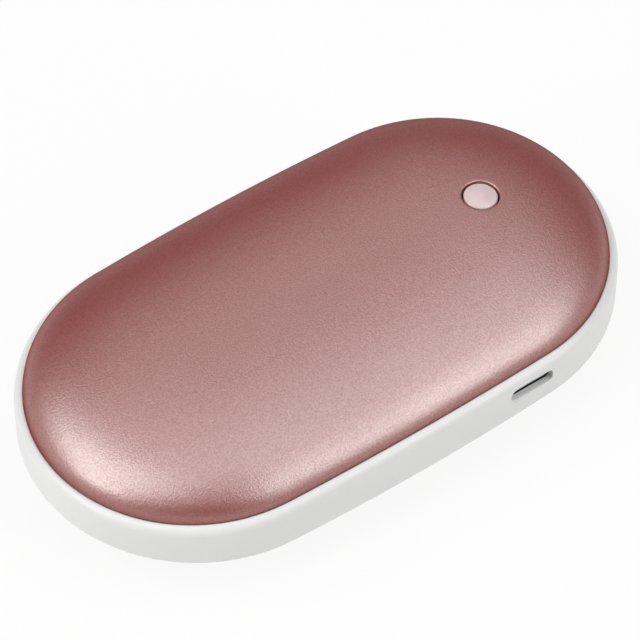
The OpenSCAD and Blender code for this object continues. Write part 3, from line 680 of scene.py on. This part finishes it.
BLAST, HANDLING, EDGE, MOULD, DRAWN = (
    blast_group(), handling_group(), edge_group(), mould_group(), draw_group())


def effect(tree, group, where, **values):
    """Places one of the shared effects with its own values."""
    node = tree.nodes.new("ShaderNodeGroup")
    node.node_tree = group
    wire(tree, node, Place=where, **values)
    return node.outputs


def blank(name):
    """A new material with its Principled shader and the place on the piece."""
    material = bpy.data.materials.new(name)
    material.use_nodes = True
    tree = material.node_tree
    shader = tree.nodes["Principled BSDF"]
    where = tree.nodes.new("ShaderNodeTexCoord").outputs["Object"]
    return material, tree, shader, where


def tone(tree, mask, dark, light):
    """Two colours mixed by a mask."""
    return blend_tones(tree, mask, (*dark, 1), (*light, 1))


def blend_tones(tree, mask, one, two):
    """Two colours, plain or from sockets, mixed by a mask."""
    return place(tree, "ShaderNodeMix", {"Factor": mask, "A": one, "B": two}, data_type="RGBA").outputs[2]


def gauge(tree, mask, low, high):
    """A mask turned into a range of values."""
    return place(tree, "ShaderNodeMapRange", {"Value": mask, "To Min": low, "To Max": high}).outputs["Result"]


def relief(tree, height, distance):
    """Normals of a fine relief, its depth in metres."""
    return place(tree, "ShaderNodeBump", {
        "Height": height, "Distance": distance, "Strength": 1.0}).outputs["Normal"]


def show(tree, one, two, share):
    """Puts a mix of two shaders on the surface."""
    both = place(tree, "ShaderNodeMixShader", {0: share, 1: one.outputs[0], 2: two.outputs[0]})
    tree.links.new(both.outputs[0], tree.nodes["Material Output"].inputs["Surface"])


# Painted shade: the shell's metal is a darker tone from its rim up to these heights from the middle plane,
# standing in for the darker reflection along the seam
RIM_SHADE_FULL, RIM_SHADE_GONE = 4.7, 8.0
BLAST_DEPTH = 0.06
DYE_SHARE = 0.5


def painted_rim_shade(tree, where):
    """Mask of painted shade that is 1 at the rim of either shell and 0 on its crown."""
    height = place(tree, "ShaderNodeSeparateXYZ", {0: where}).outputs["Z"]
    level = place(tree, "ShaderNodeMath", {0: height, 1: MID_Z * MM}, operation="SUBTRACT")
    level = place(tree, "ShaderNodeMath", {0: level.outputs[0]}, operation="ABSOLUTE")
    return place(tree, "ShaderNodeMapRange", {
        "Value": level.outputs[0], "From Min": RIM_SHADE_FULL * MM, "From Max": RIM_SHADE_GONE * MM,
        "To Min": 1.0, "To Max": 0.0}, interpolation_type="SMOOTHSTEP").outputs[0]


def rose_shell():
    """Blasted and dyed aluminium: bright pits that darken at a glancing view, with rose dye between, and painted
    shade that darkens the metal towards the rim.
    """
    material, tree, metal, where = blank("blasted_rose_metal")
    pits = effect(tree, BLAST, where, Pits_per_metre=3300.0, Coarse_share=0.12)
    hands = effect(tree, HANDLING, where, Patches_per_metre=45.0)
    normal = relief(tree, pits["Height"], BLAST_DEPTH * MM)
    bright = tone(tree, pits["Speckle"], (0.605, 0.587, 0.562), (0.890, 0.866, 0.834))
    # Painted shade: a darker copy of the metal's tone, mixed in towards the rim
    shaded_metal = tone(tree, pits["Speckle"], (0.290, 0.245, 0.230), (0.460, 0.390, 0.365))
    wire(tree, metal, Base_Color=blend_tones(tree, painted_rim_shade(tree, where), bright, shaded_metal),
         Metallic=1.0, Specular_Tint=(0.02, 0.02, 0.02, 1),
         Roughness=gauge(tree, hands["Mask"], 0.47, 0.43), Normal=normal)
    dye = place(tree, "ShaderNodeBsdfPrincipled")
    wire(tree, dye, Base_Color=tone(tree, hands["Mask"], (0.365, 0.009, 0.007), (0.395, 0.012, 0.010)),
         Specular_IOR_Level=0.0, Roughness=0.8, Normal=normal)
    show(tree, metal, dye, DYE_SHARE)
    return material


def white_plastic():
    """Satin white moulding of the band."""
    material, tree, shader, where = blank("satin_white_plastic")
    mould = effect(tree, MOULD, where, Bumps_per_metre=5200.0)
    hands = effect(tree, HANDLING, where, Patches_per_metre=70.0)
    white = tone(tree, mould["Mottle"], (0.835, 0.835, 0.830), (0.865, 0.865, 0.862))
    wire(tree, shader, Base_Color=white, Roughness=gauge(tree, hands["Mask"], 0.36, 0.46),
         Normal=relief(tree, mould["Height"], 0.000006))
    return material


def frosted_pink():
    """Frosted resin of the button, which lets light in a little way."""
    material, tree, shader, where = blank("frosted_pink_resin")
    mould = effect(tree, MOULD, where, Bumps_per_metre=7000.0)
    hands = effect(tree, HANDLING, where, Patches_per_metre=300.0)
    pink = tone(tree, hands["Mask"], (0.74, 0.58, 0.58), (0.80, 0.645, 0.64))
    wire(tree, shader, Base_Color=pink, Roughness=gauge(tree, mould["Mottle"], 0.13, 0.19),
         Subsurface_Weight=0.5, Subsurface_Scale=0.0012, Subsurface_Radius=(1.0, 0.7, 0.65),
         Normal=relief(tree, mould["Height"], 0.000005))
    return material


def moulded(name, dark, light, rough=(0.45, 0.6), bumps=4200.0, depth=0.000008, **more):
    """Moulded plastic, resin, rubber or foam, mottled and grained by its mould."""
    material, tree, shader, where = blank(name)
    mould = effect(tree, MOULD, where, Bumps_per_metre=bumps)
    hands = effect(tree, HANDLING, where, Patches_per_metre=bumps / 30)
    wire(tree, shader, Base_Color=tone(tree, mould["Mottle"], dark, light),
         Roughness=gauge(tree, hands["Mask"], *rough),
         Normal=relief(tree, mould["Height"], depth), **more)
    return material


def rolled(name, dark, light, rough=(0.22, 0.38), lines=(300.0, 9000.0, 9000.0), **more):
    """Sheet, strip, wire or turned metal, with its lines and rubbed edges."""
    material, tree, shader, where = blank(name)
    drawn = effect(tree, DRAWN, where, Lines_per_metre=lines)
    edge = effect(tree, EDGE, where)
    metal = tone(tree, drawn["Streak"], dark, light)
    bright = tuple(min(1.0, c * 1.15) for c in light)
    wire(tree, shader, Base_Color=blend_tones(tree, edge["Mask"], metal, (*bright, 1)), Metallic=1.0,
         Roughness=gauge(tree, drawn["Streak"], *rough),
         Normal=relief(tree, drawn["Height"], 0.000004), **more)
    return material


ALONG_Y = (9000.0, 300.0, 9000.0)


def finishes():
    """One finish for each material slot of the record."""
    return {
        "rose_metal": rose_shell(),
        "band_plastic": white_plastic(),
        "button_plastic": frosted_pink(),
        "frame_plastic": moulded("natural_frame_plastic", (0.76, 0.75, 0.70), (0.82, 0.81, 0.77)),
        "heater_film": moulded(
            "amber_heater_film", (0.55, 0.22, 0.03), (0.66, 0.30, 0.05),
            rough=(0.12, 0.25), bumps=1500.0, depth=0.000003, Coat_Weight=0.4),
        "heater_track": rolled(
            "etched_heater_foil", (0.50, 0.50, 0.50), (0.62, 0.62, 0.62), rough=(0.25, 0.45)),
        "foam": moulded(
            "dark_pad_foam", (0.020, 0.020, 0.022), (0.055, 0.055, 0.060),
            rough=(0.85, 0.98), bumps=1400.0, depth=0.00012),
        "cell_can": rolled(
            "plated_cell_can", (0.56, 0.57, 0.57), (0.70, 0.71, 0.72),
            rough=(0.18, 0.32), lines=(9000.0, 300.0, 300.0)),
        "cell_sleeve": moulded(
            "blue_cell_sleeve", (0.010, 0.085, 0.24), (0.020, 0.12, 0.32),
            rough=(0.16, 0.28), bumps=900.0, depth=0.00001),
        "insulating_board": moulded(
            "pressed_fibre_board", (0.62, 0.58, 0.46), (0.78, 0.74, 0.62),
            rough=(0.75, 0.9), bumps=6000.0, depth=0.00001),
        "nickel": rolled(
            "rolled_nickel_strip", (0.58, 0.55, 0.50), (0.72, 0.69, 0.63),
            rough=(0.24, 0.36), lines=ALONG_Y),
        "cradle_plastic": moulded(
            "black_cradle_plastic", (0.012, 0.012, 0.013), (0.024, 0.024, 0.026)),
        "board_laminate": moulded(
            "green_board_laminate", (0.004, 0.045, 0.018), (0.008, 0.070, 0.028),
            rough=(0.22, 0.34), bumps=2600.0, depth=0.000006),
        "socket_metal": rolled(
            "plated_socket_sheet", (0.52, 0.53, 0.54), (0.68, 0.69, 0.70),
            rough=(0.2, 0.34), lines=ALONG_Y),
        "black_plastic": moulded(
            "black_part_plastic", (0.008, 0.008, 0.009), (0.020, 0.020, 0.021), rough=(0.4, 0.55)),
        "gilt_contact": rolled(
            "gilt_contact", (0.66, 0.42, 0.11), (0.80, 0.55, 0.18), rough=(0.16, 0.28)),
        "cream_plastic": moulded("cream_part_plastic", (0.66, 0.60, 0.45), (0.74, 0.68, 0.54)),
        "lamp_resin": moulded(
            "lamp_resin", (0.80, 0.72, 0.42), (0.88, 0.80, 0.52),
            rough=(0.15, 0.3), bumps=9000.0, depth=0.000004, Transmission_Weight=0.2),
        "copper_wire": rolled(
            "enamelled_copper_wire", (0.40, 0.11, 0.04), (0.58, 0.19, 0.07),
            rough=(0.18, 0.3), lines=(400.0, 400.0, 12000.0), Coat_Weight=0.3),
        "ferrite": moulded(
            "sintered_ferrite", (0.030, 0.030, 0.032), (0.070, 0.070, 0.075),
            rough=(0.55, 0.75), bumps=9000.0, depth=0.00002),
        "capacitor_body": moulded(
            "sintered_tan_ceramic", (0.30, 0.17, 0.07), (0.44, 0.27, 0.13),
            rough=(0.4, 0.6), bumps=9000.0, depth=0.00001),
        "resistor_body": moulded(
            "printed_black_glaze", (0.008, 0.008, 0.010), (0.020, 0.020, 0.024),
            rough=(0.2, 0.35), bumps=9000.0, depth=0.000004),
        "sensor_resin": moulded(
            "dipped_black_resin", (0.005, 0.005, 0.006), (0.014, 0.014, 0.015),
            rough=(0.12, 0.25), bumps=1800.0, depth=0.00002),
        "lead_cover": moulded(
            "red_lead_cover", (0.20, 0.008, 0.006), (0.32, 0.014, 0.010),
            rough=(0.35, 0.5), bumps=2400.0, depth=0.000006),
        "screw_steel": rolled(
            "plated_screw_steel", (0.42, 0.43, 0.43), (0.60, 0.61, 0.61),
            rough=(0.24, 0.4), lines=(3000.0, 3000.0, 600.0)),
    }


def put_on(piece, material):
    """Gives a piece one finish."""
    if piece.material_slots:
        for held in piece.material_slots:
            held.material = material
    else:
        piece.data.materials.append(material)


# ---------------------------------------------------------------- studio

# Round soft boxes: name, azimuth from the camera's, elevation, brightness
PANEL_SPREAD = 11
PANEL_DISTANCE = 1.6
PANELS = [
    ("left_low_panel", -60, 26, 7.70),
    ("left_far_panel", -90, 44, 6.20),
    ("left_high_panel", -45, 60, 5.20),
    ("right_low_panel", 60, 24, 4.80),
    ("right_mid_panel", 60, 44, 4.10),
    ("right_far_panel", 90, 44, 2.90),
    ("right_high_panel", 90, 64, 1.20),
    ("back_right_panel", 135, 64, 2.10),
    ("back_panel", 180, 44, 0.70),
    ("back_high_panel", 180, 64, 0.85),
    ("back_left_panel", -135, 64, 1.15),
    ("top_panel", 45, 84, 1.95),
]

# Camera, from the middle of the case
AIM = Vector((0, 0, MID_Z * MM))
AZIMUTH, ELEVATION, DISTANCE = -35.47, 51.16, 0.68631
SENSOR_W = 36.0
LENS = 237.09
SHIFT_X, SHIFT_Y = 0.0004, 0.0221
CLIP_NEAR, CLIP_FAR = 0.01, 50.0

# Floor and surroundings
FLOOR_HALF = 6.0
FLOOR_TONE = (0.90, 0.90, 0.90, 1)
FLOOR_LIFT = 0.90
ROOM_TONE = (0.02, 0.02, 0.02, 1)


def direction(azimuth, elevation):
    """Unit vector towards a place round the object; azimuth 0 is the near side."""
    a, e = math.radians(azimuth), math.radians(elevation)
    return Vector((math.sin(a) * math.cos(e), -math.cos(a) * math.cos(e), math.sin(e)))


def stand(made, out, distance):
    """Puts a camera or lamp at a distance from the case, facing it."""
    bpy.context.scene.collection.objects.link(made)
    made.location = AIM + out * distance
    made.rotation_euler = out.to_track_quat("Z", "Y").to_euler()


def camera():
    """Camera over the case's near left."""
    data = bpy.data.cameras.new("camera")
    data.sensor_width = SENSOR_W
    data.lens = LENS
    data.shift_x, data.shift_y = SHIFT_X, SHIFT_Y
    data.clip_start, data.clip_end = CLIP_NEAR, CLIP_FAR
    made = bpy.data.objects.new("camera", data)
    stand(made, direction(AZIMUTH, ELEVATION), DISTANCE)
    bpy.context.scene.camera = made


def soft_box(name, azimuth, elevation, radiance):
    """Round soft box; its azimuth is counted from the camera's."""
    data = bpy.data.lights.new(name, "AREA")
    data.shape = "DISK"
    radius = PANEL_DISTANCE * math.tan(math.radians(PANEL_SPREAD))
    data.size = 2 * radius
    data.energy = radiance * math.pi * math.pi * radius ** 2
    stand(bpy.data.objects.new(name, data), direction(AZIMUTH + azimuth, elevation), PANEL_DISTANCE)


def floor():
    """Pale floor; rays that show it see it lifted towards white, and it keeps the object's shadow."""
    bm = bmesh.new()
    h = FLOOR_HALF
    bm.faces.new([bm.verts.new((x, y, 0)) for x, y in ((-h, -h), (h, -h), (h, h), (-h, h))])
    made = loose_object("floor", bm)
    material = bpy.data.materials.new("floor_white")
    material.use_nodes = True
    tree = material.node_tree
    shader = tree.nodes["Principled BSDF"]
    wire(tree, shader, Base_Color=FLOOR_TONE, Roughness=1.0, Specular_IOR_Level=0.0)
    lift = place(tree, "ShaderNodeEmission", {"Color": (1, 1, 1, 1), "Strength": 1.0})
    path = place(tree, "ShaderNodeLightPath").outputs
    seen = path["Is Camera Ray"]
    for ray in ("Is Glossy Ray", "Is Transmission Ray"):
        seen = place(tree, "ShaderNodeMath", {0: seen, 1: path[ray]}, operation="MAXIMUM").outputs[0]
    share = place(tree, "ShaderNodeMath", {0: seen, 1: FLOOR_LIFT}, operation="MULTIPLY").outputs[0]
    show(tree, shader, lift, share)
    made.data.materials.append(material)


def studio():
    """Soft boxes in a nearly dark room."""
    scene = bpy.context.scene
    scene.view_settings.view_transform = "Standard"
    world = bpy.data.worlds.new("studio")
    world.use_nodes = True
    scene.world = world
    world.node_tree.nodes["Background"].inputs["Color"].default_value = ROOM_TONE
    for panel in PANELS:
        soft_box(*panel)


camera()
studio()
floor()

by_slot = finishes()
for row in frame["record"]["subparts"]:
    put_on(frame["nodes"][row["node"]], by_slot[row["material_slot"]])

top_piece = mesh_piece("top_rose_shell", shell_mesh(True, EDGE_POWER),
                       "case", ["top_shell"])
low_piece = mesh_piece("bottom_rose_shell", turned_over(shell_mesh(False, LOW_EDGE_POWER)),
                       "case", ["bottom_shell"])
put_on(top_piece, by_slot["rose_metal"])
put_on(low_piece, by_slot["rose_metal"])
put_on(middle_band(), by_slot["band_plastic"])
put_on(button_cap(), by_slot["button_plastic"])
